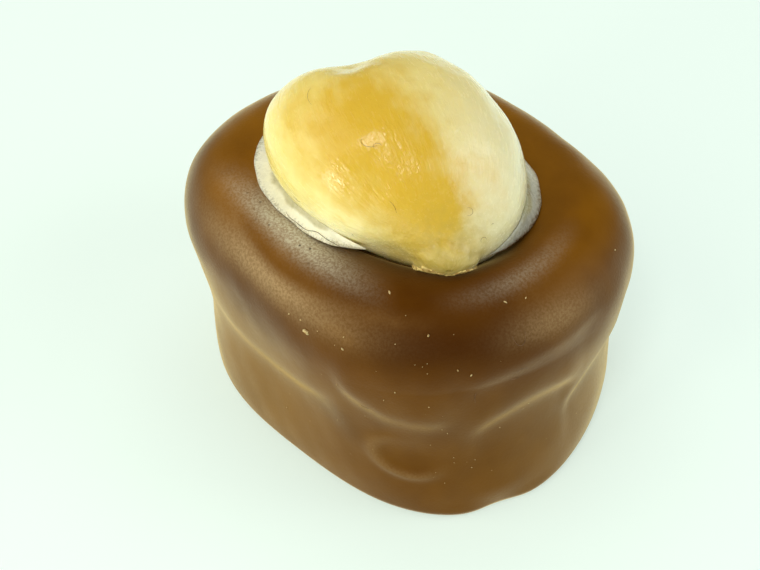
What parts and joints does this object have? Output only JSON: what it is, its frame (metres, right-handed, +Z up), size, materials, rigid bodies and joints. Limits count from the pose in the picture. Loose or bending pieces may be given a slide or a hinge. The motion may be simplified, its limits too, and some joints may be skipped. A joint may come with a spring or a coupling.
{
  "type": "praline chocolate",
  "caption": "Oval milk chocolate praline with a dipped top that holds a whole blanched hazelnut in a thin pale collar of set fat.",
  "frame": {"origin": "on the table, at the middle of the bounding box's base", "axes": "+X along the longer way of the oval, towards the end with the nut's tip; +Y across it; +Z up through the nut"},
  "size_m": [0.0298, 0.025, 0.0237],
  "materials": {
    "milk_chocolate": "milk chocolate, satin, with pale bloom in the dip",
    "blanched_hazelnut": "blanched roasted nut, fibrous, satin",
    "set_fat": "set cocoa fat, milky and slightly translucent"
  },
  "bodies": {
    "root": {"chocolate_body": "milk_chocolate", "hazelnut": "blanched_hazelnut", "nut_collar": "set_fat"}
  },
  "joints": []
}
